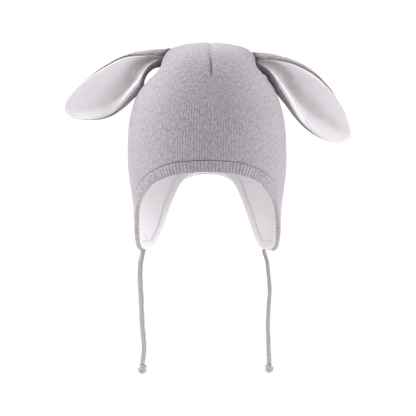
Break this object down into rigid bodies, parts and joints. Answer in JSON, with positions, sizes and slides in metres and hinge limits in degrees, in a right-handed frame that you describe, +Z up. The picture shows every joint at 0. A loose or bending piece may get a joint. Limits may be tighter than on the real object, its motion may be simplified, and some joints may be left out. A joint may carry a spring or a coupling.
{
  "type": "baby hat with ears",
  "caption": "Lined knitted baby hat with two drooping animal ears, ear flaps, a ribbed edge and knotted hanging ties.",
  "frame": {"origin": "top of the hollow, on the inner face of the lining, where the hat rests on the head", "axes": "+Z up, the face opening looks toward -Y, +X toward the ear on the right of the picture"},
  "size_m": [0.2606, 0.169, 0.3025],
  "materials": {
    "knit_grey": "fine matt stockinette knit in melange grey",
    "rib_grey": "fine matt one by one rib in melange grey",
    "jersey_white": "smooth soft white jersey",
    "fleece_white": "short brushed white fleece",
    "cord_grey": "round knitted cord in melange grey"
  },
  "bodies": {
    "root": {"crown_shell": "knit_grey", "edge_band": "rib_grey", "lining": "jersey_white", "ear_left_outer": "knit_grey", "ear_left_inner": "fleece_white", "ear_right_outer": "knit_grey", "ear_right_inner": "fleece_white", "tie_left": "cord_grey", "tie_right": "cord_grey", "knot_left": "cord_grey", "knot_right": "cord_grey"}
  },
  "joints": []
}
